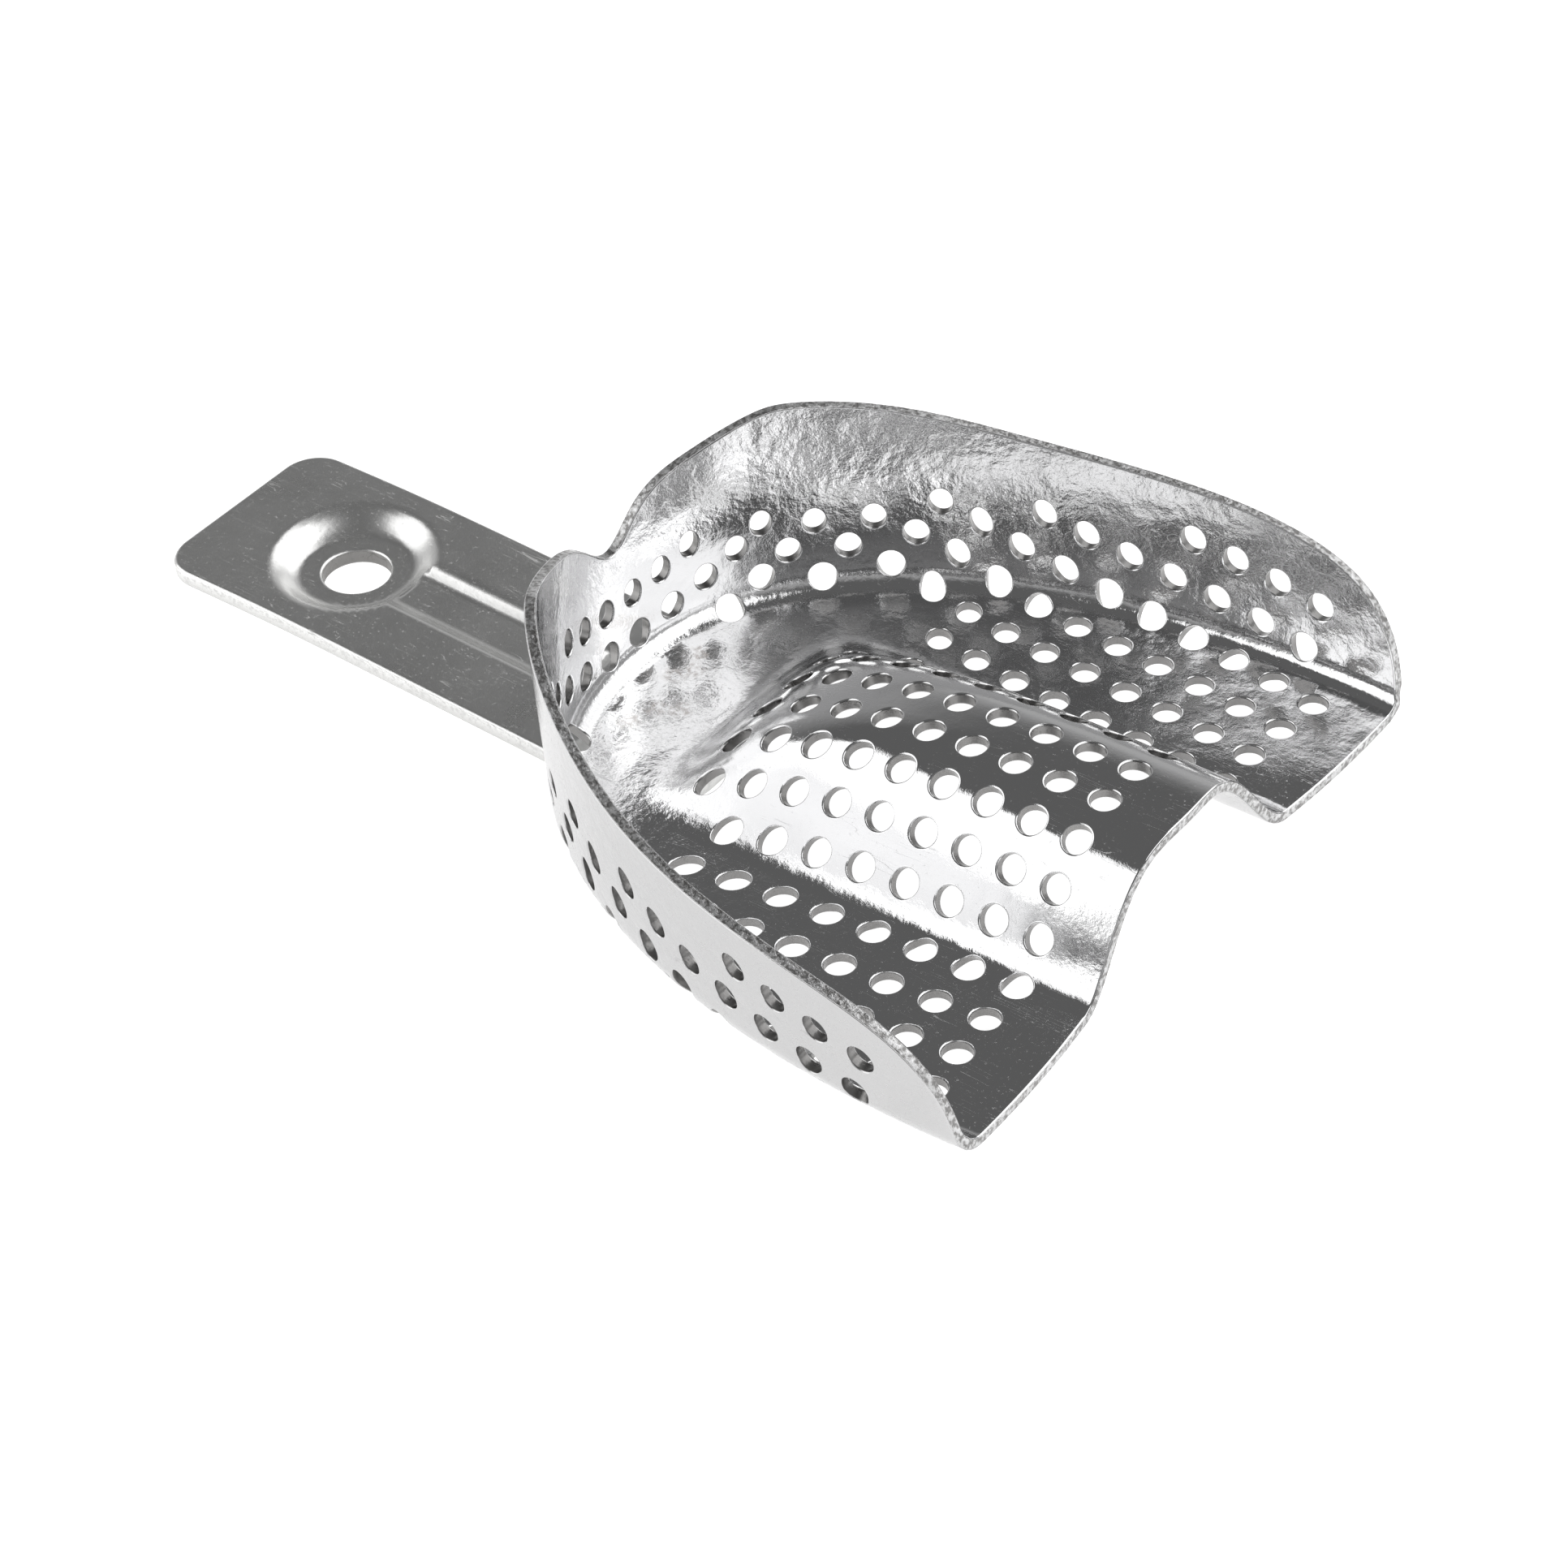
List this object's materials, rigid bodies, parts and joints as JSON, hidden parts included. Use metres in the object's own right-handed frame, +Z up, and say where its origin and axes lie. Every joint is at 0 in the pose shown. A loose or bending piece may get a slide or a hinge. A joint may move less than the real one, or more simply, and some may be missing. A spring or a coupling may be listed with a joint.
{
  "type": "dental impression tray",
  "caption": "Perforated sheet-metal upper impression tray: horseshoe trough round a raised palate, with a welded plate handle that has a pressed dimple and a hanging hole.",
  "frame": {"origin": "middle of the bottom of the tray's box, as it lies on a table on the bend of its handle and the back edge of its floor", "axes": "+X towards the open back of the bowl, -X along the handle, +Y across the bowl, +Z up out of the trough"},
  "size_m": [0.1041, 0.0666, 0.0239],
  "materials": {
    "polished_sheet": "mirror-polished stainless steel sheet with fine scratches and a sheared, grainy rim",
    "polished_plate": "polished stainless steel plate, a little softer than the bowl",
    "weld_metal": "dull spot-weld metal"
  },
  "bodies": {
    "root": {"bowl": "polished_sheet", "handle": "polished_plate", "spot_welds": "weld_metal"}
  },
  "joints": []
}
